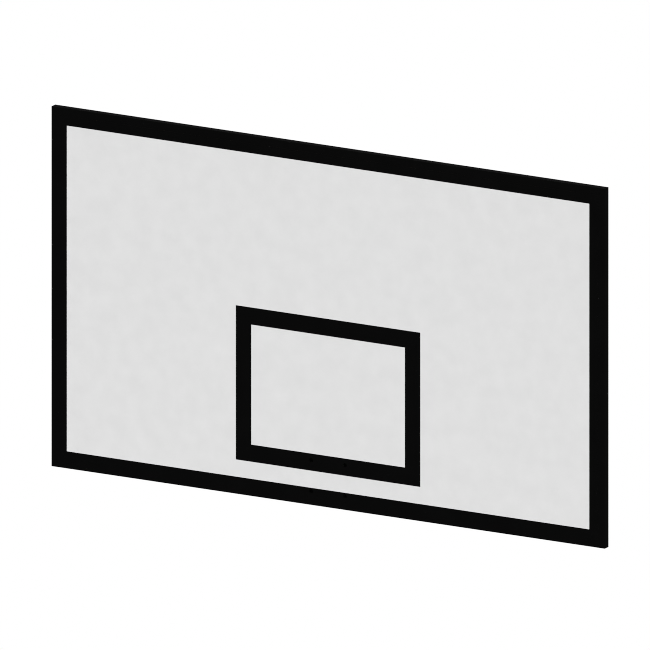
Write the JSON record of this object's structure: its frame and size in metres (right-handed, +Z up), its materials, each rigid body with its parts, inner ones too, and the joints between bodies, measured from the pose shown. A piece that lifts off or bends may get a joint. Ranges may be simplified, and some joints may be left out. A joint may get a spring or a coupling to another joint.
{
  "type": "basketball backboard",
  "caption": "Flat rectangular basketball backboard with black border and target lines, a flush black edge channel, and a welded rear angle frame with ring and support bolt holes.",
  "frame": {"origin": "centre of the four support slots, on the rear face of the hanger bars", "axes": "+X to the right of someone facing the board, +Y from the playing face to the rear, +Z up"},
  "size_m": [1.8, 0.0781, 1.05],
  "materials": {
    "plywood": "birch plies, sanded",
    "face_laminate": "light grey laminate, fine texture",
    "back_laminate": "light grey balancing laminate",
    "line_film": "matt black film",
    "edge_channel": "matt black coated aluminium channel",
    "black_screw": "black screws",
    "black_sleeve": "blackened steel",
    "galvanised_steel": "hot-dip galvanised, spangled",
    "zinc_bolt": "bright zinc plated",
    "insert_steel": "zinc plated"
  },
  "bodies": {
    "root": {"core_panel": "plywood", "face_sheet": "face_laminate", "back_sheet": "back_laminate", "border_line_top": "line_film", "border_line_bottom": "line_film", "border_line_left": "line_film", "border_line_right": "line_film", "target_line_top": "line_film", "target_line_bottom": "line_film", "target_line_left": "line_film", "target_line_right": "line_film", "edge_channel_top": "edge_channel", "edge_channel_bottom": "edge_channel", "edge_channel_left": "edge_channel", "edge_channel_right": "edge_channel", "channel_screws": "black_screw", "frame_rail_top": "galvanised_steel", "frame_rail_top_left": "galvanised_steel", "frame_rail_top_right": "galvanised_steel", "frame_rail_bottom_left": "galvanised_steel", "frame_rail_bottom_right": "galvanised_steel", "frame_stile_left": "galvanised_steel", "frame_stile_right": "galvanised_steel", "upright_left": "galvanised_steel", "upright_right": "galvanised_steel", "hanger_bar_upper": "galvanised_steel", "hanger_bar_lower": "galvanised_steel", "ring_plate": "galvanised_steel", "ring_sleeves": "black_sleeve", "threaded_inserts": "insert_steel", "frame_bolts": "zinc_bolt", "frame_washers": "zinc_bolt"}
  },
  "joints": []
}
